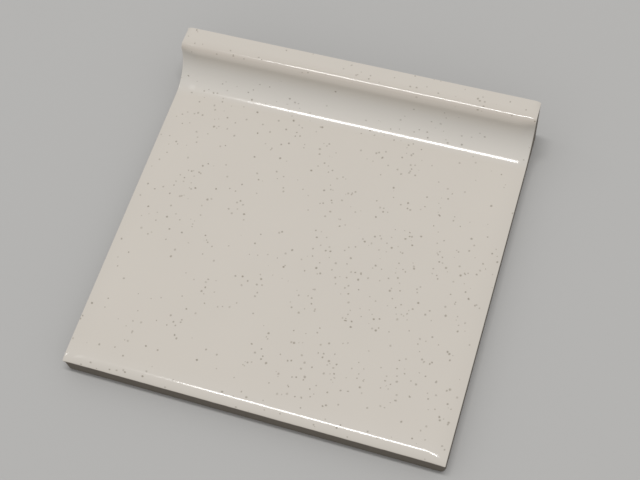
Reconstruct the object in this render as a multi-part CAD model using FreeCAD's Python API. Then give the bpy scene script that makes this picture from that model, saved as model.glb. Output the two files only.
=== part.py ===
import FreeCAD, Part
import math
import os

# Coved skirting tile: one pressed and fired piece of ceramic with a glazed face, lying on its back.
# X runs along the skirting, Y from the rolled edge to the toe, Z up out of the glazed face.
# The origin is the centre of the underside. Lengths are in millimetres and angles in degrees.

# Outline seen from above
TILE_LENGTH = 152.4
TILE_DEPTH = 151.0
CORNER_RADIUS = 1.2

# Section from the rolled edge to the toe
FIELD_THICKNESS = 9.5
ROLL_RADIUS = 7.5
ROLL_DROP = 1.3
ROLL_ENTRY = 3.0
COVE_RADIUS = 12.75
RISER_LENGTH = 0.8
RELEASE_DRAFT = 6.0
NOSE_RADIUS = 3.6
TOE_THICKNESS = 11.1

# Cushions that round the face down to its left and right sides, narrower at the end of the lip
CUSHION_RUN = 8.5
CUSHION_DROP = 1.3
LIP_CUSHION_RUN = 2.5
LIP_CUSHION_DROP = 1.0

# Underside
BACK_ARRIS = 0.6
GROOVE_WIDTH = 6.0
GROOVE_DEPTH = 0.8
GROOVE_PITCH = 13.0
GROOVE_BORDER = 10.0

# The blank overshoots its outline by these amounts, and is then trimmed to it
SIDE_ALLOWANCE = 0.25
END_ALLOWANCE = 2.0

# The blank is a face layer with the cushions on a plain body, and this is the layer's depth
LAYER_DEPTH = 1.8

ORIGIN = FreeCAD.Vector(0, 0, 0)
ALONG_X = FreeCAD.Vector(1, 0, 0)

# Outline planes
half_length = TILE_LENGTH / 2
rolled_edge = -TILE_DEPTH / 2
toe_bed = TILE_DEPTH / 2

# The riser is the steepest stretch of the face, and both arcs beside it end at its angle
riser_angle = 90 - RELEASE_DRAFT
riser_sine = math.sin(math.radians(riser_angle))
riser_cosine = math.cos(math.radians(riser_angle))

# Heights of the face, from the field up to the lip
cove_top = FIELD_THICKNESS + COVE_RADIUS * (1 - riser_cosine)
nose_foot = cove_top + RISER_LENGTH * riser_sine
lip_height = nose_foot + NOSE_RADIUS * (1 - riser_cosine)

# Centres of the nose and cove arcs, worked out from the toe towards the rolled edge
nose_front = toe_bed - TOE_THICKNESS
nose_centre = nose_front + NOSE_RADIUS * riser_sine
cove_end = nose_front - RISER_LENGTH * riser_cosine
cove_centre = cove_end - COVE_RADIUS * riser_sine

# The roll leaves the field at the entry angle and comes down to the rolled edge by its drop
entry_cosine = math.cos(math.radians(ROLL_ENTRY))
edge_cosine = entry_cosine - ROLL_DROP / ROLL_RADIUS
roll_run = ROLL_RADIUS * math.sqrt(1 - edge_cosine ** 2)
roll_centre = rolled_edge + roll_run
roll_foot = FIELD_THICKNESS - ROLL_RADIUS * entry_cosine
overshoot_sine = min((roll_run + END_ALLOWANCE) / ROLL_RADIUS, 1)
roll_angle = math.degrees(math.asin(overshoot_sine))


def at(along, height):
    """Point of the section plane, given along Y and up Z."""
    return FreeCAD.Vector(0, along, height)


def on_arc(centre, radius, angle):
    """Point of the section plane at an angle from straight up, positive towards the rolled edge."""
    turn = math.radians(angle)
    return centre + at(-radius * math.sin(turn), radius * math.cos(turn))


roll_axis = at(roll_centre, roll_foot)
cove_axis = at(cove_centre, FIELD_THICKNESS + COVE_RADIUS)
nose_axis = at(nose_centre, lip_height - NOSE_RADIUS)


def face_section(start, heading, run=CUSHION_RUN, drop=CUSHION_DROP):
    """Wire across the face layer at a point of its path: flat, with a cushion arc down to each side."""
    radius = (run ** 2 + drop ** 2) / (2 * drop)
    side = half_length + SIDE_ALLOWANCE
    flat = half_length - run
    turn = math.asin((side - flat) / radius)
    side_down = radius * (1 - math.cos(turn))
    middle_out = radius * math.sin(turn / 2)
    middle_down = radius * (1 - math.cos(turn / 2))
    left_foot = FreeCAD.Vector(-side, 0, -LAYER_DEPTH)
    left_shoulder = FreeCAD.Vector(-side, 0, -side_down)
    left_middle = FreeCAD.Vector(-flat - middle_out, 0, -middle_down)
    left_crown = FreeCAD.Vector(-flat, 0, 0)
    right_crown = FreeCAD.Vector(flat, 0, 0)
    right_middle = FreeCAD.Vector(flat + middle_out, 0, -middle_down)
    right_shoulder = FreeCAD.Vector(side, 0, -side_down)
    right_foot = FreeCAD.Vector(side, 0, -LAYER_DEPTH)
    edges = [
        Part.makeLine(left_foot, left_shoulder),
        Part.Arc(left_shoulder, left_middle, left_crown).toShape(),
        Part.makeLine(left_crown, right_crown),
        Part.Arc(right_crown, right_middle, right_shoulder).toShape(),
        Part.makeLine(right_shoulder, right_foot),
        Part.makeLine(right_foot, left_foot),
    ]
    section = Part.Wire(edges)
    section.rotate(ORIGIN, ALONG_X, heading)
    section.translate(start)
    return section


def straight_face(start, end):
    """Face layer along a straight stretch of the path."""
    run = end - start
    heading = math.degrees(math.atan2(run.z, run.y))
    return Part.Face(face_section(start, heading)).extrude(run)


def curved_face(axis, start, heading, turn):
    """Face layer round an arc of the path, turned about the arc's centre line."""
    return Part.Face(face_section(start, heading)).revolve(axis, ALONG_X, turn)


def lip_face(start, end):
    """Face layer of the lip, whose cushions narrow towards the toe and keep its corners square."""
    narrow = face_section(end, 0, LIP_CUSHION_RUN, LIP_CUSHION_DROP)
    return Part.makeLoft([face_section(start, 0), narrow], True, True)


def make_face_layer():
    """Layers of the face, in order from the field to the lip."""
    field_start = at(rolled_edge - END_ALLOWANCE, FIELD_THICKNESS)
    field_end = at(cove_centre, FIELD_THICKNESS)
    riser_start = at(cove_end, cove_top)
    riser_end = at(nose_front, nose_foot)
    lip_start = at(nose_centre, lip_height)
    lip_end = at(toe_bed + END_ALLOWANCE, lip_height)
    return [
        straight_face(field_start, field_end),
        curved_face(cove_axis, field_end, 0, riser_angle),
        straight_face(riser_start, riser_end),
        curved_face(nose_axis, riser_end, riser_angle, -riser_angle),
        lip_face(lip_start, lip_end),
    ]


def arc_edge(centre, radius, first, last):
    """Arc in the section plane between two angles from straight up."""
    middle = (first + last) / 2
    ends = [on_arc(centre, radius, angle) for angle in (first, middle, last)]
    return Part.Arc(*ends).toShape()


def make_body():
    """Body under the face layer: its section, set in by the layer's depth, run along the length."""
    below_cove = 180
    cove = arc_edge(cove_axis, COVE_RADIUS + LAYER_DEPTH, below_cove, below_cove + riser_angle)
    nose = arc_edge(nose_axis, NOSE_RADIUS - LAYER_DEPTH, riser_angle, 0)
    front_bottom = at(rolled_edge - END_ALLOWANCE, 0)
    front_top = at(rolled_edge - END_ALLOWANCE, FIELD_THICKNESS - LAYER_DEPTH)
    field_end = on_arc(cove_axis, COVE_RADIUS + LAYER_DEPTH, below_cove)
    riser_start = on_arc(cove_axis, COVE_RADIUS + LAYER_DEPTH, below_cove + riser_angle)
    riser_end = on_arc(nose_axis, NOSE_RADIUS - LAYER_DEPTH, riser_angle)
    lip_start = on_arc(nose_axis, NOSE_RADIUS - LAYER_DEPTH, 0)
    back_top = at(toe_bed + END_ALLOWANCE, lip_start.z)
    back_bottom = at(toe_bed + END_ALLOWANCE, 0)
    edges = [
        Part.makeLine(front_bottom, front_top),
        Part.makeLine(front_top, field_end),
        cove,
        Part.makeLine(riser_start, riser_end),
        nose,
        Part.makeLine(lip_start, back_top),
        Part.makeLine(back_top, back_bottom),
        Part.makeLine(back_bottom, front_bottom),
    ]
    section = Part.Face(Part.Wire(edges))
    blank_side = half_length + SIDE_ALLOWANCE
    section.translate(FreeCAD.Vector(-blank_side, 0, 0))
    return section.extrude(FreeCAD.Vector(2 * blank_side, 0, 0))


def make_outline():
    """Upright prism of the tile's outline, with its plan corners rounded."""
    corner = FreeCAD.Vector(-half_length, rolled_edge, 0)
    block = Part.makeBox(TILE_LENGTH, TILE_DEPTH, lip_height + END_ALLOWANCE, corner)
    uprights = [edge for edge in block.Edges if edge.BoundBox.ZLength > lip_height]
    return block.makeFillet(CORNER_RADIUS, uprights)


def make_roll_cutter():
    """What the rolled edge takes off the blank: all that is above its arc, across the full length."""
    crest = on_arc(roll_axis, ROLL_RADIUS, 0)
    foot = on_arc(roll_axis, ROLL_RADIUS, roll_angle)
    ceiling = FIELD_THICKNESS + END_ALLOWANCE
    edges = [
        arc_edge(roll_axis, ROLL_RADIUS, 0, roll_angle),
        Part.makeLine(foot, at(foot.y, ceiling)),
        Part.makeLine(at(foot.y, ceiling), at(crest.y, ceiling)),
        Part.makeLine(at(crest.y, ceiling), crest),
    ]
    section = Part.Face(Part.Wire(edges))
    reach = half_length + END_ALLOWANCE
    section.translate(FreeCAD.Vector(-reach, 0, 0))
    return section.extrude(FreeCAD.Vector(2 * reach, 0, 0))


def ease_back(tile):
    """Break the sharp edge all round the underside."""
    rim = [edge for edge in tile.Edges if edge.BoundBox.ZMax < BACK_ARRIS / 2]
    return tile.makeChamfer(BACK_ARRIS, rim)


def make_groove(along):
    """Blind keying groove across the underside, with round ends."""
    radius = GROOVE_WIDTH / 2
    reach = half_length - GROOVE_BORDER - radius
    near_left = FreeCAD.Vector(-reach, along - radius, 0)
    near_right = FreeCAD.Vector(reach, along - radius, 0)
    right_end = FreeCAD.Vector(reach + radius, along, 0)
    far_right = FreeCAD.Vector(reach, along + radius, 0)
    far_left = FreeCAD.Vector(-reach, along + radius, 0)
    left_end = FreeCAD.Vector(-reach - radius, along, 0)
    edges = [
        Part.makeLine(near_left, near_right),
        Part.Arc(near_right, right_end, far_right).toShape(),
        Part.makeLine(far_right, far_left),
        Part.Arc(far_left, left_end, near_left).toShape(),
    ]
    return Part.Face(Part.Wire(edges)).extrude(FreeCAD.Vector(0, 0, GROOVE_DEPTH))


def make_grooves():
    """Row of keying grooves, as many as fit inside the border, centred on the underside."""
    span = TILE_DEPTH - 2 * GROOVE_BORDER - GROOVE_WIDTH
    steps = math.floor(span / GROOVE_PITCH)
    first = -steps * GROOVE_PITCH / 2
    return [make_groove(first + step * GROOVE_PITCH) for step in range(steps + 1)]


def make_tile():
    """The whole tile: body and face layer joined, rolled, trimmed to the outline and grooved behind."""
    blank = make_body().fuse(make_face_layer()).removeSplitter()
    rolled = blank.cut(make_roll_cutter())
    trimmed = rolled.common(make_outline())
    return ease_back(trimmed).cut(make_grooves()).removeSplitter()


tile = make_tile()
os.makedirs("parts", exist_ok=True)
tile.exportStep("parts/cove_tile.step")
print("lip height", round(lip_height, 3), "volume", round(tile.Volume), "solids", len(tile.Solids))
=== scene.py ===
"""Looks of a glazed cove base tile: its swept face, its fired body, the studio and the camera."""

import logging
import math
from collections.abc import Callable
from dataclasses import dataclass
from enum import Enum
from typing import Any

import bmesh
import bpy
import numpy as np
from mathutils import Matrix, Vector


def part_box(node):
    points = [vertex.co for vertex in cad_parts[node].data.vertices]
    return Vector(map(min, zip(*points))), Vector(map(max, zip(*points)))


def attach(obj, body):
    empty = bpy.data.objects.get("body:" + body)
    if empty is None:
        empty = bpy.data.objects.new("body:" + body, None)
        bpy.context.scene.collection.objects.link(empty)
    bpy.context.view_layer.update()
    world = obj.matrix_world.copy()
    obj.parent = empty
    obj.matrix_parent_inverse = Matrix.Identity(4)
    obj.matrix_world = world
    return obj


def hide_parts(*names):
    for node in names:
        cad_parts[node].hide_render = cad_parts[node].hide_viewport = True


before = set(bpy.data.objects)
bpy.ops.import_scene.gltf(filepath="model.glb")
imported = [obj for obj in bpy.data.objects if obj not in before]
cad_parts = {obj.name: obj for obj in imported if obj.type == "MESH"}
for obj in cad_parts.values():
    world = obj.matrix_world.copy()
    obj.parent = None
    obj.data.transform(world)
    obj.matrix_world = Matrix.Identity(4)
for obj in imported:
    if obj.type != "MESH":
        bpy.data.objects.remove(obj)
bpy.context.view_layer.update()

MM = 0.001
NEAR = 0.01 * MM
TILE_NODE = "cove_tile"

# Corner data of the tile's mesh: depth below the glazed face, number along its edge, and depth of glaze,
# which is zero on the field, one where glaze pools and minus one where it draws thin. The depth of glaze
# also carries painted light and shade: pooled glaze is drawn lighter in the cove and on the riser, and thin
# glaze darker over the nose and lip
RIM_DEPTH = "rim_depth"
RIM_NUMBER = "rim_number"
GLAZE_DEPTH_AND_SHADE = "glaze_depth_and_shade"

# Sockets of a colour Mix node
FACTOR, FROM, TO, MIXED = 0, 6, 7, 2

log = logging.getLogger("cove_tile")


class Pick(Enum):
    """Kind of mesh element that an edit step selects."""

    EDGES = "EDGE"
    FACES = "FACE"


class Coat(Enum):
    """Material slots of the tile, in order."""

    GLAZE = 0
    BISCUIT = 1


def linear(hex_colour: str) -> tuple[float, float, float, float]:
    """Turn an sRGB hex colour into linear RGBA.

    Args:
        hex_colour: Six hex digits after a hash sign.

    Returns:
        The linear colour with full alpha.
    """
    values = [int(hex_colour[start:start + 2], 16) / 255 for start in (1, 3, 5)]
    red, green, blue = (v / 12.92 if v <= 0.04045 else ((v + 0.055) / 1.055) ** 2.4 for v in values)
    return red, green, blue, 1.0


def arc_radius(run: float, drop: float) -> float:
    """Work out the radius of an arc that starts level.

    Args:
        run: Level distance that the arc covers.
        drop: Height that it loses.

    Returns:
        The radius.
    """
    return (run ** 2 + drop ** 2) / (2 * drop)


def add_node(
    tree: bpy.types.NodeTree,
    kind: str,
    settings: dict[str | int, Any] | None = None,
    links: dict[str | int, bpy.types.NodeSocket] | None = None,
) -> bpy.types.Node:
    """Add a shader node, set it up and link its inputs.

    Args:
        tree: Node tree that gets the node.
        kind: Node type name.
        settings: Node properties by name, and input values by socket name or number.
        links: Output sockets by the input's socket name or number.

    Returns:
        The new node.
    """
    node = tree.nodes.new(kind)
    for name, value in (settings or {}).items():
        if isinstance(name, str) and hasattr(node, name):
            setattr(node, name, value)
        else:
            node.inputs[name].default_value = value
    for name, socket in (links or {}).items():
        tree.links.new(socket, node.inputs[name])
    return node


def new_material(name: str) -> tuple[bpy.types.Material, bpy.types.NodeTree]:
    """Make a material with an empty node tree.

    Args:
        name: Name of the material.

    Returns:
        The material and its tree.
    """
    material = bpy.data.materials.new(name)
    material.use_nodes = True
    material.node_tree.nodes.clear()
    return material, material.node_tree


class Bench:
    """One mesh object held in edit mode, with selection by place."""

    def __init__(self, piece: bpy.types.Object) -> None:
        """Take a piece into edit mode.

        Args:
            piece: Mesh object to work on.
        """
        self.piece = piece
        bpy.context.view_layer.objects.active = piece
        bpy.ops.object.mode_set(mode="EDIT")

    @property
    def mesh(self) -> bmesh.types.BMesh:
        """The piece's mesh as it is being edited."""
        return bmesh.from_edit_mesh(self.piece.data)

    def select(self, kind: Pick, test: Callable[[Vector], bool]) -> None:
        """Select the elements all of whose corners pass a test.

        Args:
            kind: Edges or faces.
            test: Test of a corner's place.
        """
        bpy.ops.mesh.select_mode(type=kind.value)
        bpy.ops.mesh.select_all(action="DESELECT")
        mesh = self.mesh
        for element in mesh.edges if kind is Pick.EDGES else mesh.faces:
            element.select_set(all(test(corner.co) for corner in element.verts))
        mesh.select_flush_mode()
        bmesh.update_edit_mesh(self.piece.data)

    def select_rim(self) -> None:
        """Select the open edge of the mesh."""
        bpy.ops.mesh.select_mode(type=Pick.EDGES.value)
        bpy.ops.mesh.select_all(action="DESELECT")
        bpy.ops.mesh.select_non_manifold(
            use_wire=False, use_multi_face=False, use_non_contiguous=False, use_verts=False
        )

    def spin(
        self, steps: int, turn: float, axis: tuple[int, int, int], centre: tuple[float, float, float]
    ) -> None:
        """Sweep the selection round an axis.

        Args:
            steps: Number of faces round the sweep.
            turn: Right-handed angle; the operator turns the other way.
            axis: Direction of the axis.
            centre: Point of the axis.
        """
        bpy.ops.mesh.spin(steps=steps, angle=-turn, axis=axis, center=centre)

    def extrude(self, move: Vector) -> None:
        """Extrude the selection and move it.

        Args:
            move: Step in metres.
        """
        bpy.ops.mesh.extrude_region_move(TRANSFORM_OT_translate={"value": move})

    def scale(self, factors: tuple[float, float, float], centre: tuple[float, float, float]) -> None:
        """Scale the selection about a point.

        Args:
            factors: Factors along X, Y and Z.
            centre: Point that stays.
        """
        bpy.ops.transform.resize(value=factors, center_override=centre)

    def trim(self, point: Vector, outward: Vector) -> None:
        """Cut the whole mesh by a plane and drop what is beyond it.

        Args:
            point: Point of the plane.
            outward: Normal that points at what is dropped.
        """
        bpy.ops.mesh.select_all(action="SELECT")
        bpy.ops.mesh.bisect(plane_co=point, plane_no=outward, clear_outer=True, threshold=NEAR)

    def done(self) -> None:
        """Leave edit mode."""
        bpy.ops.object.mode_set(mode="OBJECT")


@dataclass(frozen=True)
class SpeckLayer:
    """One size of fleck in the glaze.

    Attributes:
        spacing: Mean distance between possible flecks.
        radius: Radius at which the largest flecks have faded out.
        colour: sRGB colour of the fleck.
        share: Share of the possible flecks that show.
        strength: How much of the fleck's colour shows through the glaze.
    """

    spacing: float
    radius: float
    colour: str
    share: float
    strength: float


@dataclass(frozen=True)
class SpeckledGlaze:
    """Glossy off-white glaze, fired on the pressed face with iron flecks under its surface.

    It gives the eye a hard wet gloss over an even warm white, cooler and lighter where it pools and warmer
    and darker where it is thin, with fine grey-brown dots in loose drifts. The pooled and thin tones also
    paint light into the cove and riser and shade over the nose and lip.

    Attributes:
        colour: Colour at common depth.
        cloud_colour: Colour of faint clouds in it.
        pooled_and_lit_colour: Colour where the glaze pools, lighter and cooler, which also paints light into
            the cove.
        thin_and_shaded_colour: Colour where it draws thin, darker and warmer, which also paints shade over
            the nose.
        cloud_size: Width of the clouds.
        roughness: Roughness of the gloss.
        ior: Index of refraction.
        drift_size: Width of the drifts that flecks lie in.
        drift_noise: Noise where a drift is thinnest and where it is thickest.
        drift_share: Share of flecks at those two.
        lean_reach: Distance over which flecks gather towards the front right.
        lean_gain: Gain in their share at that distance.
        side_start: Distance from the middle where flecks start to thin out towards the sides.
        side_end: Distance where they are thinnest.
        side_share: Share of flecks there.
        steep_level: Upward part of the normal where the face counts as steep.
        steep_share: Share of flecks there.
        wobble_size: Width of the waves that make flecks uneven.
        wobble: Height of those waves.
        layer_step: Distance between the patterns of two layers, along X and Y.
        smallest: Radius of the smallest flecks as a share of the largest.
        faintest: Strength of the faintest flecks as a share of the strongest.
        core: Share of its radius over which a fleck has its full strength.
        ripple_size: Width of the ripples in the gloss.
        ripple_height: Height of the ripples.
        specks: Layers of flecks.
    """

    colour: str = "#D7D0C6"
    cloud_colour: str = "#D4CDC3"
    pooled_and_lit_colour: str = "#DAD5CD"
    thin_and_shaded_colour: str = "#CEC5BA"
    cloud_size: float = 24 * MM
    roughness: float = 0.12
    ior: float = 1.58
    drift_size: float = 22 * MM
    drift_noise: tuple[float, float] = (0.3, 0.7)
    drift_share: tuple[float, float] = (0.2, 1.8)
    lean_reach: float = 150 * MM
    lean_gain: float = 0.06
    side_start: float = 66 * MM
    side_end: float = 74 * MM
    side_share: float = 0.5
    steep_level: float = 0.55
    steep_share: float = 0.1
    wobble_size: float = 1.2 * MM
    wobble: float = 0.5 * MM
    layer_step: tuple[float, float] = (700 * MM, 300 * MM)
    smallest: float = 0.62
    faintest: float = 0.45
    core: float = 0.12
    ripple_size: float = 16 * MM
    ripple_height: float = 0.001 * MM
    specks: tuple[SpeckLayer, ...] = (
        SpeckLayer(2.3 * MM, 0.74 * MM, "#6E634D", 0.044, 0.68),
        SpeckLayer(2.2 * MM, 0.71 * MM, "#6C624E", 0.040, 0.68),
        SpeckLayer(2.4 * MM, 0.74 * MM, "#70644C", 0.047, 0.67),
        SpeckLayer(1.7 * MM, 0.50 * MM, "#7C725E", 0.032, 0.60),
    )

    def make(self) -> bpy.types.Material:
        """Build the glaze material.

        Returns:
            The material.
        """
        material, tree = new_material("speckled_gloss_glaze_and_painted_shading")
        own = add_node(tree, "ShaderNodeTexCoord").outputs
        place = own["Object"]
        flat = self.lay_flat(tree, place)
        share = self.fleck_share(tree, place, own["Normal"])
        clouds = add_node(
            tree, "ShaderNodeTexNoise", {"Scale": 1 / self.cloud_size, "Detail": 2.0}, {"Vector": place}
        ).outputs["Fac"]
        colour = add_node(
            tree, "ShaderNodeMix",
            {"data_type": "RGBA", FROM: linear(self.colour), TO: linear(self.cloud_colour)},
            {FACTOR: clouds},
        ).outputs[MIXED]
        # Depth of glaze mixes in the pooled and thin colours, which also paint light in the cove and on the
        # riser and shade over the nose and lip
        depth = add_node(tree, "ShaderNodeAttribute", {"attribute_name": GLAZE_DEPTH_AND_SHADE}).outputs["Fac"]
        for full, shade in ((1.0, self.pooled_and_lit_colour), (-1.0, self.thin_and_shaded_colour)):
            part = add_node(tree, "ShaderNodeMapRange", {"From Max": full}, {"Value": depth}).outputs[0]
            colour = add_node(
                tree, "ShaderNodeMix", {"data_type": "RGBA", TO: linear(shade)}, {FACTOR: part, FROM: colour}
            ).outputs[MIXED]
        for number, layer in enumerate(self.specks):
            mask = self.speck_mask(tree, flat, share, layer, number)
            colour = add_node(
                tree, "ShaderNodeMix", {"data_type": "RGBA", TO: linear(layer.colour)},
                {FACTOR: mask, FROM: colour},
            ).outputs[MIXED]
        ripple = add_node(
            tree, "ShaderNodeTexNoise", {"Scale": 1 / self.ripple_size, "Detail": 1.0}, {"Vector": place}
        ).outputs["Fac"]
        bump = add_node(
            tree, "ShaderNodeBump", {"Strength": 1.0, "Distance": self.ripple_height}, {"Height": ripple}
        ).outputs["Normal"]
        surface = add_node(
            tree, "ShaderNodeBsdfPrincipled", {"Roughness": self.roughness, "IOR": self.ior},
            {"Base Color": colour, "Normal": bump},
        ).outputs["BSDF"]
        add_node(tree, "ShaderNodeOutputMaterial", None, {"Surface": surface})
        return material

    def lay_flat(self, tree: bpy.types.NodeTree, place: bpy.types.NodeSocket) -> bpy.types.NodeSocket:
        """Lay the bent face out flat, so that flecks keep their shape on its upright stretches.

        Args:
            tree: Tree of the glaze.
            place: Object coordinates.

        Returns:
            Socket of the flat place, wobbled so that flecks are uneven.
        """
        axes = add_node(tree, "ShaderNodeSeparateXYZ", None, {"Vector": place}).outputs
        along = add_node(
            tree, "ShaderNodeMath", {"operation": "ADD"}, {0: axes["Y"], 1: axes["Z"]}
        ).outputs[0]
        flat = add_node(tree, "ShaderNodeCombineXYZ", None, {"X": axes["X"], "Y": along}).outputs["Vector"]
        wobble = add_node(
            tree, "ShaderNodeTexNoise", {"Scale": 1 / self.wobble_size, "Detail": 1.0}, {"Vector": place}
        ).outputs["Color"]
        return add_node(
            tree, "ShaderNodeVectorMath", {"operation": "MULTIPLY_ADD", 1: (self.wobble, self.wobble, 0)},
            {0: wobble, 2: flat},
        ).outputs[0]

    def fleck_share(
        self, tree: bpy.types.NodeTree, place: bpy.types.NodeSocket, normal: bpy.types.NodeSocket
    ) -> bpy.types.NodeSocket:
        """Work out how thickly flecks lie: in drifts, more at the front right, fewer on sides and steeps.

        Args:
            tree: Tree of the glaze.
            place: Object coordinates.
            normal: Object normal.

        Returns:
            Socket of the share, about one on average over the field.
        """
        axes = add_node(tree, "ShaderNodeSeparateXYZ", None, {"Vector": place}).outputs
        drifts = add_node(
            tree, "ShaderNodeTexNoise", {"Scale": 1 / self.drift_size, "Detail": 1.0}, {"Vector": place}
        ).outputs["Fac"]
        lean = add_node(
            tree, "ShaderNodeMath", {"operation": "SUBTRACT"}, {0: axes["X"], 1: axes["Y"]}
        ).outputs[0]
        aside = add_node(tree, "ShaderNodeMath", {"operation": "ABSOLUTE"}, {0: axes["X"]}).outputs[0]
        level = add_node(tree, "ShaderNodeSeparateXYZ", None, {"Vector": normal}).outputs["Z"]
        ranges = (
            (drifts, *self.drift_noise, *self.drift_share),
            (lean, -self.lean_reach, self.lean_reach, 1 - self.lean_gain, 1 + self.lean_gain),
            (aside, self.side_start, self.side_end, 1.0, self.side_share),
            (level, self.steep_level, 1.0, self.steep_share, 1.0),
        )
        parts = []
        for value, first, last, low, high in ranges:
            span = {"From Min": first, "From Max": last, "To Min": low, "To Max": high}
            parts.append(add_node(tree, "ShaderNodeMapRange", span, {"Value": value}).outputs["Result"])
        share, *others = parts
        for other in others:
            share = add_node(
                tree, "ShaderNodeMath", {"operation": "MULTIPLY"}, {0: share, 1: other}
            ).outputs[0]
        return share

    def speck_mask(
        self,
        tree: bpy.types.NodeTree,
        flat: bpy.types.NodeSocket,
        share: bpy.types.NodeSocket,
        layer: SpeckLayer,
        number: int,
    ) -> bpy.types.NodeSocket:
        """Draw one layer of flecks.

        Args:
            tree: Tree of the glaze.
            flat: Place on the face laid out flat.
            share: How thickly flecks lie.
            layer: Size and share of the flecks.
            number: Number of the layer, which moves its pattern.

        Returns:
            Socket that is zero on plain glaze and the layer's strength on a full fleck.
        """
        step_x, step_y = self.layer_step
        moved = add_node(
            tree, "ShaderNodeMapping", {"Location": (number * step_x, number * step_y, 0)}, {"Vector": flat}
        ).outputs["Vector"]
        cells = add_node(
            tree, "ShaderNodeTexVoronoi", {"voronoi_dimensions": "2D", "Scale": 1 / layer.spacing},
            {"Vector": moved},
        ).outputs
        # The cell's colour also sets where its point lies, so the draws come from a second noise
        draws = add_node(tree, "ShaderNodeTexWhiteNoise", None, {"Vector": cells["Color"]}).outputs["Color"]
        chance = add_node(tree, "ShaderNodeSeparateColor", None, {"Color": draws}).outputs
        largest = layer.radius / layer.spacing
        radius = add_node(
            tree, "ShaderNodeMapRange", {"To Min": self.smallest * largest, "To Max": largest},
            {"Value": chance["Blue"]},
        ).outputs["Result"]
        reach = add_node(
            tree, "ShaderNodeMath", {"operation": "DIVIDE"}, {0: cells["Distance"], 1: radius}
        ).outputs[0]
        spot = add_node(
            tree, "ShaderNodeMapRange",
            {"interpolation_type": "SMOOTHSTEP", "From Min": 1.0, "From Max": self.core}, {"Value": reach},
        ).outputs["Result"]
        landed = add_node(
            tree, "ShaderNodeMath", {"operation": "MULTIPLY", 1: layer.share}, {0: share}
        ).outputs[0]
        shown = add_node(
            tree, "ShaderNodeMath", {"operation": "LESS_THAN"}, {0: chance["Red"], 1: landed}
        ).outputs[0]
        strength = add_node(
            tree, "ShaderNodeMapRange",
            {"To Min": self.faintest * layer.strength, "To Max": layer.strength}, {"Value": chance["Green"]},
        ).outputs["Result"]
        mask = spot
        for factor in (shown, strength):
            mask = add_node(
                tree, "ShaderNodeMath", {"operation": "MULTIPLY"}, {0: mask, 1: factor}
            ).outputs[0]
        return mask


@dataclass(frozen=True)
class PressedBiscuit:
    """Warm grey-brown fired clay, dry-pressed from powder and left bare on the sides and back.

    It gives the eye a dull granular surface, with the glaze ending in an uneven line below the shoulder. Its
    colour is drawn darker than the clay's own, to paint in the shade on the sides and back.

    Attributes:
        colour: Colour of the clay, drawn darker to paint in the shade on the sides and back.
        grain_colour: Colour of its darker grains, drawn darker the same way.
        grain_size: Width of the grains.
        grain_height: Height of the grains.
        roughness: Roughness of the bare clay.
        overrun: Mean distance that the glaze runs down from the face.
        overrun_wave: Width of the waves in the glaze line.
        overrun_fade: Distance over which the glaze ends.
    """

    # Darker than the clay's own tone, so that it paints in the shade on the sides and back
    colour: str = "#726A5F"
    grain_colour: str = "#675F55"
    # Pressing powder is finer than this, and is drawn coarser so that it shows
    grain_size: float = 1.5 * MM
    grain_height: float = 0.02 * MM
    roughness: float = 0.85
    overrun: float = 0.45 * MM
    overrun_wave: float = 5 * MM
    overrun_fade: float = 0.15 * MM

    def make(self, glaze: SpeckledGlaze) -> bpy.types.Material:
        """Build the biscuit material.

        Args:
            glaze: Glaze that runs over the top of the sides.

        Returns:
            The material.
        """
        material, tree = new_material("pressed_biscuit_clay_and_painted_shade")
        place = add_node(tree, "ShaderNodeTexCoord").outputs["Object"]
        grain = add_node(
            tree, "ShaderNodeTexNoise", {"Scale": 1 / self.grain_size, "Detail": 4.0}, {"Vector": place}
        ).outputs["Fac"]
        clay = add_node(
            tree, "ShaderNodeMix",
            {"data_type": "RGBA", FROM: linear(self.colour), TO: linear(self.grain_colour)}, {FACTOR: grain},
        ).outputs[MIXED]
        depth = add_node(tree, "ShaderNodeAttribute", {"attribute_name": RIM_DEPTH}).outputs["Fac"]
        wave = add_node(
            tree, "ShaderNodeTexNoise", {"Scale": 1 / self.overrun_wave, "Detail": 3.0}, {"Vector": place}
        ).outputs["Fac"]
        line = add_node(
            tree, "ShaderNodeMath", {"operation": "MULTIPLY", 1: 2 * self.overrun}, {0: wave}
        ).outputs[0]
        below = add_node(tree, "ShaderNodeMath", {"operation": "SUBTRACT"}, {0: depth, 1: line}).outputs[0]
        bare = add_node(
            tree, "ShaderNodeMapRange",
            {"interpolation_type": "SMOOTHSTEP", "From Min": 0.0, "From Max": self.overrun_fade},
            {"Value": below},
        ).outputs["Result"]
        colour = add_node(
            tree, "ShaderNodeMix", {"data_type": "RGBA", FROM: linear(glaze.colour)},
            {FACTOR: bare, TO: clay},
        ).outputs[MIXED]
        gloss = add_node(
            tree, "ShaderNodeMapRange", {"To Min": glaze.roughness, "To Max": self.roughness},
            {"Value": bare},
        ).outputs["Result"]
        height = add_node(tree, "ShaderNodeMath", {"operation": "MULTIPLY"}, {0: grain, 1: bare}).outputs[0]
        bump = add_node(
            tree, "ShaderNodeBump", {"Strength": 1.0, "Distance": self.grain_height}, {"Height": height}
        ).outputs["Normal"]
        surface = add_node(
            tree, "ShaderNodeBsdfPrincipled", {"IOR": glaze.ior},
            {"Base Color": colour, "Roughness": gloss, "Normal": bump},
        ).outputs["BSDF"]
        add_node(tree, "ShaderNodeOutputMaterial", None, {"Surface": surface})
        return material


@dataclass(frozen=True)
class StudioFloor:
    """Matt pale grey painted board, which takes the tile's shadow."""

    colour: str = "#BCBBB9"
    roughness: float = 0.9

    def make(self) -> bpy.types.Material:
        """Build the floor material.

        Returns:
            The material.
        """
        material, tree = new_material("matt_painted_board")
        surface = add_node(
            tree, "ShaderNodeBsdfPrincipled",
            {"Base Color": linear(self.colour), "Roughness": self.roughness},
        ).outputs["BSDF"]
        add_node(tree, "ShaderNodeOutputMaterial", None, {"Surface": surface})
        return material


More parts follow.
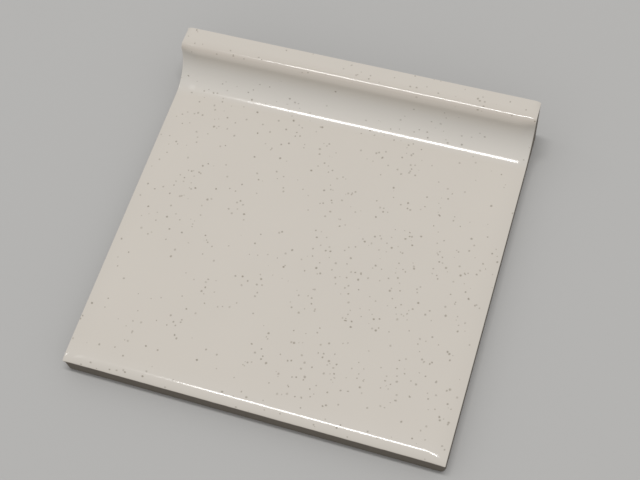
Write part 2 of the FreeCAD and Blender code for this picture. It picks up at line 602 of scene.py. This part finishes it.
@dataclass(frozen=True)
class RimPoint:
    """Point on the edge of the glazed face, where the eased shoulder starts.

    Attributes:
        place: Where the face ends.
        normal: Normal of the face there.
        outward: Level direction out of the side.
        radius: Radius of the shoulder.
    """

    place: Vector
    normal: Vector
    outward: Vector
    radius: float

    @property
    def arc(self) -> float:
        """Length round the shoulder."""
        return self.radius * self.normal.angle(self.outward)

    def on_shoulder(self, share: float) -> Vector:
        """Find a point of the shoulder.

        Args:
            share: Share of the way from the face to the side.

        Returns:
            The point.
        """
        return self.place + (self.normal.slerp(self.outward, share) - self.normal) * self.radius

    def on_side(self, depth: float) -> Vector:
        """Find a point of the side.

        Args:
            depth: Distance from the shoulder, square to the face.

        Returns:
            The point.
        """
        inward = self.outward * self.normal.dot(self.outward) - self.normal
        return self.on_shoulder(1.0) + inward.normalized() * depth


@dataclass
class CoveTile:
    """The tile: one pressed and fired piece whose glazed face is swept along the section.

    Attributes:
        low: Lowest corner of the tile.
        high: Highest corner of the tile.
        field_thickness: Thickness under the flat field.
        roll_radius: Radius of the rolled front edge.
        roll_drop: Height that the roll loses.
        cove_radius: Radius of the cove.
        release_draft: Lean of the riser.
        nose_radius: Radius of the nose.
        toe_thickness: Distance from the foot of the nose to the back of the lip.
        cushion_run: Width of the cushions beside the field and the cove.
        cushion_drop: Fall of those cushions.
        nose_cushion_run: Width of the cushions where the nose meets the lip.
        nose_cushion_drop: Fall of the cushions there.
        lip_cushion_run: Width of the cushions at the back of the lip.
        lip_cushion_drop: Fall of the cushions there.
        mitre_power: Sharpness of the mitres between the roll and the cushions.
        corner_radius: Plan radius of the glazed corners.
        body_corner: Plan radius of the body's corners under the glaze.
        foot_corner: Plan radius of the body's corners at the back.
        shoulder_ease: Distance that the face is set in for the eased shoulder.
        glaze_straight: Depth below the shoulder that keeps the glazed corners.
        glaze_edge: Depth below the shoulder where the body's corners start.
        back_arris: Radius of the edge round the back.
        groove_width: Width of a keying groove.
        groove_depth: Depth of a keying groove.
        groove_pitch: Distance between keying grooves.
        groove_border: Least border round the keying grooves.
        roll_overshoot: Length of face that runs out past the front and is trimmed off.
        pool_and_shading_fade: Distance over which pooled glaze and its painted light and shade fade.
        edge_pool_and_shading: Depth of glaze at the front edge, where one is deepest and minus one is
            thinnest; deeper glaze is painted lighter and thinner glaze darker.
        roll_pool_and_shading: Depth of glaze on the roll, which also paints a lighter, cooler tone on it.
        riser_pool_and_light: Depth of glaze at the top of the riser, which also paints light into the
            riser's shade.
        lip_pool_and_shade: Depth of glaze at the front of the lip, which also paints shade on it.
        field_faces: Faces of the field along X and Y.
        cushion_faces: Faces across a cushion.
        cove_faces: Faces round the cove.
        nose_faces: Faces round the nose.
        lip_faces: Faces across the lip.
        roll_faces: Faces across the roll.
        corner_cuts: Cuts that round a plan corner.
        shoulder_faces: Faces round the shoulder.
        arris_faces: Faces round the edge of the back.
        groove_end_faces: Faces round a quarter of a groove's end.
        smooth_angle: Largest angle between faces that are shaded as one.
    """

    low: Vector
    high: Vector
    field_thickness: float = 9.5 * MM
    roll_radius: float = 7.5 * MM
    roll_drop: float = 1.3 * MM
    cove_radius: float = 12.75 * MM
    release_draft: float = math.radians(6.0)
    nose_radius: float = 3.6 * MM
    toe_thickness: float = 11.1 * MM
    cushion_run: float = 8.5 * MM
    cushion_drop: float = 1.3 * MM
    nose_cushion_run: float = 6.0 * MM
    nose_cushion_drop: float = 0.62 * MM
    lip_cushion_run: float = 2.5 * MM
    lip_cushion_drop: float = 1.0 * MM
    mitre_power: float = 1.6
    corner_radius: float = 0.45 * MM
    body_corner: float = 1.6 * MM
    foot_corner: float = 2.0 * MM
    shoulder_ease: float = 0.2 * MM
    glaze_straight: float = 0.3 * MM
    glaze_edge: float = 1.2 * MM
    back_arris: float = 0.6 * MM
    groove_width: float = 6.0 * MM
    groove_depth: float = 0.8 * MM
    groove_pitch: float = 13.0 * MM
    groove_border: float = 10.0 * MM
    roll_overshoot: float = 2.0 * MM
    # Depths of glaze, set also to paint light into the cove and riser and shade over the nose and lip
    pool_and_shading_fade: float = 5.0 * MM
    edge_pool_and_shading: float = 0.1
    roll_pool_and_shading: float = 0.3
    riser_pool_and_light: float = 0.4
    lip_pool_and_shade: float = -0.3
    field_faces: tuple[int, int] = (36, 32)
    cushion_faces: int = 36
    cove_faces: int = 44
    nose_faces: int = 20
    lip_faces: int = 6
    roll_faces: int = 40
    corner_cuts: int = 10
    shoulder_faces: int = 5
    arris_faces: int = 5
    groove_end_faces: int = 6
    smooth_angle: float = math.radians(28)

    @property
    def riser_angle(self) -> float:
        """Steepest angle of the face."""
        return math.pi / 2 - self.release_draft

    @property
    def riser_length(self) -> float:
        """Straight stretch between the cove and the nose."""
        arcs = (self.cove_radius + self.nose_radius) * (1 - math.cos(self.riser_angle))
        return (self.high.z - self.field_thickness - arcs) / math.sin(self.riser_angle)

    @property
    def nose_front(self) -> float:
        """Where the riser ends and the nose starts, along Y."""
        return self.high.y - self.toe_thickness

    @property
    def nose_centre(self) -> float:
        """Centre of the nose arc along Y."""
        return self.nose_front + self.nose_radius * math.sin(self.riser_angle)

    @property
    def cove_centre(self) -> float:
        """Centre of the cove arc along Y, where the field ends."""
        riser_run = self.riser_length * math.cos(self.riser_angle)
        return self.nose_front - riser_run - self.cove_radius * math.sin(self.riser_angle)

    @property
    def roll_centre(self) -> float:
        """Centre of the rolled edge along Y, where the field starts."""
        run = math.sqrt(self.roll_radius ** 2 - (self.roll_radius - self.roll_drop) ** 2)
        return self.low.y + run

    @property
    def cushion_radius(self) -> float:
        """Radius of the cushion arcs at the sides."""
        return arc_radius(self.cushion_run, self.cushion_drop)

    @property
    def riser_start(self) -> float:
        """Where the riser starts along the section."""
        return self.cove_centre + self.cove_radius * self.riser_angle

    @property
    def nose_start(self) -> float:
        """Where the nose starts along the section."""
        return self.riser_start + self.riser_length

    @property
    def lip_start(self) -> float:
        """Where the lip starts along the section."""
        return self.nose_start + self.nose_radius * self.riser_angle

    @property
    def lip_end(self) -> float:
        """Where the lip ends along the section."""
        return self.lip_start + self.high.y - self.nose_centre

    def build(self) -> bpy.types.Object:
        """Model the tile.

        Returns:
            The tile's mesh object.
        """
        bench = self.start_field()
        self.sweep_face(bench)
        self.narrow_cushions(bench)
        self.roll_front(bench)
        self.trim_outline(bench)
        self.pool_glaze_and_paint_shading(bench)
        self.ease_shoulder(bench)
        self.close_back(bench)
        self.key_back(bench)
        bench.done()
        bench.piece.data.attributes.remove(bench.piece.data.attributes[RIM_NUMBER])
        bpy.ops.object.shade_smooth_by_angle(angle=self.smooth_angle)
        return bench.piece

    def start_field(self) -> Bench:
        """Lay the flat field as a grid.

        Returns:
            The bench that holds it.
        """
        middle = (self.roll_centre + self.cove_centre) / 2
        size = (2 * (self.high.x - self.cushion_run), self.cove_centre - self.roll_centre, 1.0)
        bpy.ops.object.select_all(action="DESELECT")
        faces_x, faces_y = self.field_faces
        bpy.ops.mesh.primitive_grid_add(
            x_subdivisions=faces_x, y_subdivisions=faces_y, size=1.0,
            location=(0.0, middle, self.field_thickness),
        )
        bpy.ops.transform.resize(value=size)
        bpy.ops.object.transform_apply(location=True, rotation=True, scale=True)
        piece = bpy.context.object
        piece.name = "glazed_cove_tile"
        piece.data.attributes.new(RIM_DEPTH, "FLOAT", "POINT")
        piece.data.attributes.new(RIM_NUMBER, "INT", "POINT")
        piece.data.attributes.new(GLAZE_DEPTH_AND_SHADE, "FLOAT", "POINT")
        return Bench(piece)

    def sweep_face(self, bench: Bench) -> None:
        """Spin and extrude the cushions, the cove, the riser, the nose and the lip.

        Args:
            bench: Bench that holds the field.
        """
        along_x, along_y = (1, 0, 0), (0, 1, 0)
        thickness = self.field_thickness
        cushion_turn = math.asin(self.cushion_run / self.cushion_radius)
        for side in (-1, 1):
            crown = side * (self.high.x - self.cushion_run)
            bench.select(Pick.EDGES, lambda corner: abs(corner.x - crown) < NEAR)
            centre = (crown, 0, thickness - self.cushion_radius)
            bench.spin(self.cushion_faces, side * cushion_turn, along_y, centre)
        bench.select(Pick.EDGES, lambda corner: abs(corner.y - self.cove_centre) < NEAR)
        centre = (0, self.cove_centre, thickness + self.cove_radius)
        bench.spin(self.cove_faces, self.riser_angle, along_x, centre)
        rise = Vector((0, math.cos(self.riser_angle), math.sin(self.riser_angle)))
        bench.extrude(rise * self.riser_length)
        centre = (0, self.nose_centre, self.high.z - self.nose_radius)
        bench.spin(self.nose_faces, -self.riser_angle, along_x, centre)
        for _ in range(self.lip_faces):
            bench.extrude(Vector((0, (self.high.y - self.nose_centre) / self.lip_faces, 0)))

    def on_section(self, place: Vector) -> tuple[float, float]:
        """Find where a point of the face lies along the section.

        Args:
            place: Point of the face.

        Returns:
            Distance along the section, which is Y on the field, and slope of the section there.
        """
        past_field = place.y - self.cove_centre
        cove_turn = math.atan2(past_field, self.field_thickness + self.cove_radius - place.z)
        nose_turn = math.atan2(self.nose_centre - place.y, place.z - self.high.z + self.nose_radius)
        if past_field <= 0:
            return place.y, 0.0
        if cove_turn <= self.riser_angle:
            return self.cove_centre + self.cove_radius * cove_turn, cove_turn
        if nose_turn <= 0:
            return self.lip_start - self.nose_centre + place.y, 0.0
        if nose_turn <= self.riser_angle:
            return self.lip_start - self.nose_radius * nose_turn, nose_turn
        return self.nose_start, self.riser_angle

    def cushion_fall(self, across: float, run: float, drop: float) -> float:
        """Work out how far a cushion has fallen.

        Args:
            across: Place across the tile.
            run: Width of the cushion.
            drop: Fall at the side of the tile.

        Returns:
            The fall below the face.
        """
        radius = arc_radius(run, drop)
        beyond = max(abs(across) - self.high.x + run, 0.0)
        return radius - math.sqrt(radius ** 2 - beyond ** 2)

    def narrow_cushions(self, bench: Bench) -> None:
        """Narrow the cushions over the nose and along the lip, so that its back corners stay square.

        Args:
            bench: Bench that holds the swept face.
        """
        swept = Vector((self.cushion_run, self.cushion_drop))
        nose = Vector((self.nose_cushion_run, self.nose_cushion_drop))
        lip = Vector((self.lip_cushion_run, self.lip_cushion_drop))
        for corner in bench.mesh.verts:
            run, slope = self.on_section(corner.co)
            if run < self.lip_start:
                share = max(run - self.nose_start, 0.0) / (self.lip_start - self.nose_start)
                first, last = swept, nose
            else:
                share = min((run - self.lip_start) / (self.lip_end - self.lip_start), 1.0)
                first, last = nose, lip
            eased = share * share * (3 - 2 * share)
            wanted = first.lerp(last, eased)
            raised = self.cushion_fall(corner.co.x, *swept) - self.cushion_fall(corner.co.x, *wanted)
            corner.co += Vector((0, -math.sin(slope), math.cos(slope))) * raised
        bmesh.update_edit_mesh(bench.piece.data)

    def pool_glaze_and_paint_shading(self, bench: Bench) -> None:
        """Mark where the glaze is deep, in the cove and along the roll, and where it is thin, over the nose;
        the same marks paint light into the cove and riser and shade over the nose and lip.

        Args:
            bench: Bench that holds the trimmed face.
        """
        nose_middle = (self.nose_start + self.lip_start) / 2
        # Glaze depth along the section, which also paints light into the cove and riser and shade over the
        # nose and lip
        levels = {
            self.low.y: self.edge_pool_and_shading,
            self.roll_centre - self.pool_and_shading_fade / 3: self.roll_pool_and_shading,
            self.roll_centre + self.pool_and_shading_fade: 0.0,
            self.cove_centre: 0.0,
            self.cove_centre + self.pool_and_shading_fade: 1.0,
            self.riser_start - self.pool_and_shading_fade: 1.0,
            self.nose_start: self.riser_pool_and_light,
            nose_middle: -1.0,
            self.lip_start: self.lip_pool_and_shade,
            self.lip_start + self.pool_and_shading_fade / 2: 0.0,
        }
        mesh = bench.mesh
        depth = mesh.verts.layers.float[GLAZE_DEPTH_AND_SHADE]
        for corner in mesh.verts:
            run, _ = self.on_section(corner.co)
            corner[depth] = float(np.interp(run, list(levels), list(levels.values())))
        bmesh.update_edit_mesh(bench.piece.data)

    def roll_front(self, bench: Bench) -> None:
        """Run the face out past the rolled edge and lower it onto the roll, mitred softly with the cushions.

        Args:
            bench: Bench that holds the face.
        """
        bench.select(Pick.EDGES, lambda corner: abs(corner.y - self.roll_centre) < NEAR)
        reach = self.roll_centre - self.low.y + self.roll_overshoot
        for _ in range(self.roll_faces):
            bench.extrude(Vector((0, -reach / self.roll_faces, 0)))
        for corner in bench.mesh.verts:
            run = self.roll_centre - corner.co.y
            if run > NEAR:
                roll = self.roll_radius - math.sqrt(self.roll_radius ** 2 - run ** 2)
                cushion = max(self.field_thickness - corner.co.z, 0.0)
                drop = (roll ** self.mitre_power + cushion ** self.mitre_power) ** (1 / self.mitre_power)
                corner.co.z = self.field_thickness - drop
        bmesh.update_edit_mesh(bench.piece.data)

    def trim_outline(self, bench: Bench) -> None:
        """Trim the swept face to the outline, set in by the eased shoulder.

        Args:
            bench: Bench that holds the face.
        """
        half_x = self.high.x - self.shoulder_ease
        half_y = self.high.y - self.shoulder_ease
        for side in (-1, 1):
            bench.trim(Vector((side * half_x, 0, 0)), Vector((side, 0, 0)))
            bench.trim(Vector((0, side * half_y, 0)), Vector((0, side, 0)))
        radius = self.corner_radius - self.shoulder_ease
        for side_x in (-1, 1):
            for side_y in (-1, 1):
                centre = Vector((side_x * (half_x - radius), side_y * (half_y - radius), 0))
                for cut in range(self.corner_cuts):
                    angle = math.pi / 2 * (cut + 0.5) / self.corner_cuts
                    outward = Vector((side_x * math.cos(angle), side_y * math.sin(angle), 0))
                    bench.trim(centre + outward * radius, outward)
        bpy.ops.mesh.select_all(action="SELECT")
        bpy.ops.mesh.remove_doubles(threshold=2 * NEAR)

    def rim_point(self, corner: bmesh.types.BMVert) -> RimPoint:
        """Describe a corner on the edge of the trimmed face.

        Args:
            corner: Corner of the mesh.

        Returns:
            The point, with the shoulder that fits between it and the side.
        """
        beyond_x = abs(corner.co.x) - (self.high.x - self.corner_radius)
        beyond_y = abs(corner.co.y) - (self.high.y - self.corner_radius)
        along_x = math.copysign(max(beyond_x, 0), corner.co.x)
        along_y = math.copysign(max(beyond_y, 0), corner.co.y)
        away = Vector((along_x, along_y, 0))
        outward = away.normalized()
        gap = self.corner_radius - away.length
        normal = sum((face.normal for face in corner.link_faces), Vector()).normalized()
        return RimPoint(corner.co.copy(), normal, outward, gap / (1 - normal.dot(outward)))

    def ease_shoulder(self, bench: Bench) -> None:
        """Round the edge of the face over to the sides, and start the sides below it.

        Args:
            bench: Bench that holds the trimmed face.
        """
        bpy.ops.mesh.select_all(action="SELECT")
        bpy.ops.mesh.normals_make_consistent(inside=False)
        bench.select_rim()
        mesh = bench.mesh
        mesh.normal_update()
        number = mesh.verts.layers.int[RIM_NUMBER]
        corners = [corner for corner in mesh.verts if corner.select]
        rim = [self.rim_point(corner) for corner in corners]
        for index, corner in enumerate(corners):
            corner[number] = index
        outline = self.corner_radius
        for step in range(1, self.shoulder_faces + 1):
            share = step / self.shoulder_faces
            self.move_rim(bench, [
                (self.tuck_corner(point.on_shoulder(share), outline), point.arc * share) for point in rim
            ])
        for depth, radius in ((self.glaze_straight, outline), (self.glaze_edge, self.body_corner)):
            self.move_rim(bench, [
                (self.tuck_corner(point.on_side(depth), radius), point.arc + depth) for point in rim
            ])

    def tuck_corner(self, place: Vector, radius: float) -> Vector:
        """Draw a point of the side in onto an outline with rounder plan corners.

        Args:
            place: Point of the side.
            radius: Radius of the rounder corners.

        Returns:
            The point on the rounder outline, at the same height.
        """
        centre = Vector((self.high.x - radius, self.high.y - radius))
        beyond = Vector((abs(place.x), abs(place.y))) - centre
        if min(beyond) > 0:
            drawn = centre + beyond.normalized() * radius
        else:
            drawn = Vector((min(abs(place.x), self.high.x), min(abs(place.y), self.high.y)))
        return Vector((math.copysign(drawn.x, place.x), math.copysign(drawn.y, place.y), place.z))

    def move_rim(self, bench: Bench, targets: list[tuple[Vector, float]]) -> None:
        """Extrude the selected rim and move each new corner to its target.

        Args:
            bench: Bench that holds the face.
            targets: Place and rim depth of each new corner, by its number along the rim.
        """
        bench.extrude(Vector((0, 0, 0)))
        mesh = bench.mesh
        number = mesh.verts.layers.int[RIM_NUMBER]
        depth = mesh.verts.layers.float[RIM_DEPTH]
        for corner in mesh.verts:
            if corner.select:
                corner.co, corner[depth] = targets[corner[number]]
        bmesh.update_edit_mesh(bench.piece.data)

    def close_back(self, bench: Bench) -> None:
        """Drop the sides to the back, round the back edge and close it.

        Args:
            bench: Bench with the lower edge of the sides selected.
        """
        bench.extrude(Vector((0, 0, 0)))
        bench.scale((1, 1, 0), (0, 0, self.back_arris))
        mesh = bench.mesh
        depth = mesh.verts.layers.float[RIM_DEPTH]
        for corner in mesh.verts:
            if corner.select:
                corner[depth] = self.field_thickness
                corner.co = self.tuck_corner(corner.co, self.foot_corner)
        bmesh.update_edit_mesh(bench.piece.data)
        inset, drop = 0.0, 0.0
        for step in range(1, self.arris_faces + 1):
            angle = math.pi / 2 * step / self.arris_faces
            new_inset = self.back_arris * (1 - math.cos(angle))
            new_drop = self.back_arris * math.sin(angle)
            bench.extrude(Vector((0, 0, drop - new_drop)))
            factor_x = (self.high.x - new_inset) / (self.high.x - inset)
            factor_y = (self.high.y - new_inset) / (self.high.y - inset)
            bench.scale((factor_x, factor_y, 1), (0, 0, 0))
            inset, drop = new_inset, new_drop
        bpy.ops.mesh.edge_face_add()

    def key_back(self, bench: Bench) -> None:
        """Sink the blind keying grooves into the back.

        Args:
            bench: Bench that holds the closed tile.
        """
        reach = self.high.x - self.groove_border
        span = self.high.y - self.low.y - 2 * self.groove_border - self.groove_width
        steps = math.floor(span / self.groove_pitch)
        rows = [(step - steps / 2) * self.groove_pitch for step in range(steps + 1)]
        half_width = self.groove_width / 2
        cuts = [(Vector((side * reach, 0, 0)), Vector((1, 0, 0))) for side in (-1, 1)]
        for row in rows:
            cuts += [(Vector((0, row + side * half_width, 0)), Vector((0, 1, 0))) for side in (-1, 1)]
        for point, across in cuts:
            bench.select(Pick.FACES, lambda corner: abs(corner.z) < NEAR)
            bpy.ops.mesh.bisect(plane_co=point, plane_no=across)

        bpy.ops.mesh.select_all(action="DESELECT")
        for face in bench.mesh.faces:
            middle = face.calc_center_median()
            in_row = any(abs(middle.y - row) < half_width for row in rows)
            face.select_set(in_row and abs(middle.z) < NEAR and abs(middle.x) < reach)
        bmesh.update_edit_mesh(bench.piece.data)
        bench.extrude(Vector((0, 0, self.groove_depth)))
        bpy.ops.mesh.select_mode(type=Pick.EDGES.value)
        bpy.ops.mesh.select_all(action="DESELECT")
        for edge in bench.mesh.edges:
            first, second = (corner.co for corner in edge.verts)
            run = first - second
            upright = abs(abs(run.z) - self.groove_depth) < NEAR and run.xy.length < NEAR
            edge.select_set(upright and abs(first.x) < reach + NEAR)
        bmesh.update_edit_mesh(bench.piece.data)
        # Just under half the width, so that the two rounds of a groove's end stay apart
        end_radius = half_width - 5 * NEAR
        bpy.ops.mesh.bevel(offset=end_radius, segments=self.groove_end_faces, affect="EDGES")
        bpy.ops.mesh.select_all(action="SELECT")
        bpy.ops.mesh.normals_make_consistent(inside=False)

    def dress(self, piece: bpy.types.Object, glaze: SpeckledGlaze, biscuit: PressedBiscuit) -> None:
        """Give the face its glaze and the sides and back their bare clay.

        Args:
            piece: The tile's mesh object.
            glaze: Finish of the face.
            biscuit: Finish of the sides and back.
        """
        piece.data.materials.append(glaze.make())
        piece.data.materials.append(biscuit.make(glaze))
        depths = piece.data.attributes[RIM_DEPTH].data
        for face in piece.data.polygons:
            bare = max(depths[corner].value for corner in face.vertices) > NEAR
            face.material_index = (Coat.BISCUIT if bare else Coat.GLAZE).value


@dataclass(frozen=True)
class StudioLamp:
    """Flat rectangular lamp that faces the tile.

    Attributes:
        name: Name of the lamp.
        place: Middle of the lamp in metres.
        size: Sides of the lamp in metres.
        power: Power in watts.
    """

    name: str
    place: tuple[float, float, float]
    size: tuple[float, float]
    power: float

    def build(self) -> None:
        """Hang the lamp and turn it about Y to face the tile."""
        bpy.ops.object.light_add(type="AREA", location=self.place)
        lamp = bpy.context.object
        lamp.name = self.name
        lamp.data.shape = "RECTANGLE"
        lamp.data.size, lamp.data.size_y = self.size
        lamp.data.energy = self.power
        lamp.rotation_euler.y = math.atan2(self.place[0], self.place[2])


@dataclass
class Studio:
    """Pale floor, one long strip lamp overhead, softer lamps to its left and an even surround."""

    floor_size: float = 12.0
    lamps: tuple[StudioLamp, ...] = (
        StudioLamp("strip_lamp", (0.005, 0.135, 2.0), (1.18, 0.18), 16.0),
        StudioLamp("strip_fade", (-0.597, 0.135, 2.0), (0.024, 0.18), 0.027),
        StudioLamp("glow_lamp", (-1.08, -0.10, 2.0), (0.44, 0.70), 0.85),
        StudioLamp("side_lamp", (-2.62, 0.50, 2.0), (0.08, 0.40), 0.90),
    )
    surround: str = "#FFFFFF"
    surround_strength: float = 0.50

    def build(self, floor: StudioFloor) -> None:
        """Set out the floor and the lights.

        Args:
            floor: Finish of the floor.
        """
        bpy.ops.object.select_all(action="DESELECT")
        bpy.ops.mesh.primitive_plane_add(size=self.floor_size, location=(0, 0, -2 * NEAR))
        bpy.ops.object.transform_apply(location=True, rotation=True, scale=True)
        board = bpy.context.object
        board.name = "studio_floor"
        board.data.materials.append(floor.make())
        for lamp in self.lamps:
            lamp.build()
        world = bpy.data.worlds.new("even_surround")
        world.use_nodes = True
        back = world.node_tree.nodes["Background"]
        back.inputs["Color"].default_value = linear(self.surround)
        back.inputs["Strength"].default_value = self.surround_strength
        bpy.context.scene.world = world
        bpy.context.scene.view_settings.view_transform = "Standard"


@dataclass
class PhotoCamera:
    """Camera at the photograph's viewing angle, in the tile's frame.

    Attributes:
        place: Where the camera stands.
        heading: Turn to the left of +Y.
        pitch: Angle down from level.
        roll: Turn about the line of sight.
        lens: Focal length in millimetres.
        sensor: Sensor width in millimetres.
        nearest: Nearest distance that shows.
    """

    place: tuple[float, float, float] = (100.090 * MM, -199.276 * MM, 435.363 * MM)
    heading: float = math.radians(25.475)
    pitch: float = math.radians(62.613)
    roll: float = math.radians(-9.169)
    lens: float = 67.752
    sensor: float = 36.0
    nearest: float = 10 * MM

    def build(self) -> None:
        """Add the camera and make it the scene's own."""
        data = bpy.data.cameras.new("photo_camera")
        data.lens = self.lens
        data.sensor_width = self.sensor
        data.clip_start = self.nearest
        camera = bpy.data.objects.new("photo_camera", data)
        turn = Matrix.Rotation(self.heading, 4, "Z")
        tilt = Matrix.Rotation(math.pi / 2 - self.pitch, 4, "X")
        roll = Matrix.Rotation(self.roll, 4, "Z")
        camera.matrix_world = Matrix.Translation(self.place) @ turn @ tilt @ roll
        bpy.context.scene.collection.objects.link(camera)
        bpy.context.scene.camera = camera


def main() -> None:
    """Build the tile, the studio and the camera in order."""
    logging.basicConfig(level=logging.INFO, format="%(message)s")
    low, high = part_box(TILE_NODE)
    tile = CoveTile(low, high)
    piece = tile.build()
    tile.dress(piece, SpeckledGlaze(), PressedBiscuit())
    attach(piece, "root")
    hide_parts(TILE_NODE)
    log.info("%s: %d faces", piece.name, len(piece.data.polygons))
    Studio().build(StudioFloor())
    log.info("studio: floor, lamps and surround")
    PhotoCamera().build()
    log.info("camera: at the photograph's angle")


if __name__ == "__main__":
    main()
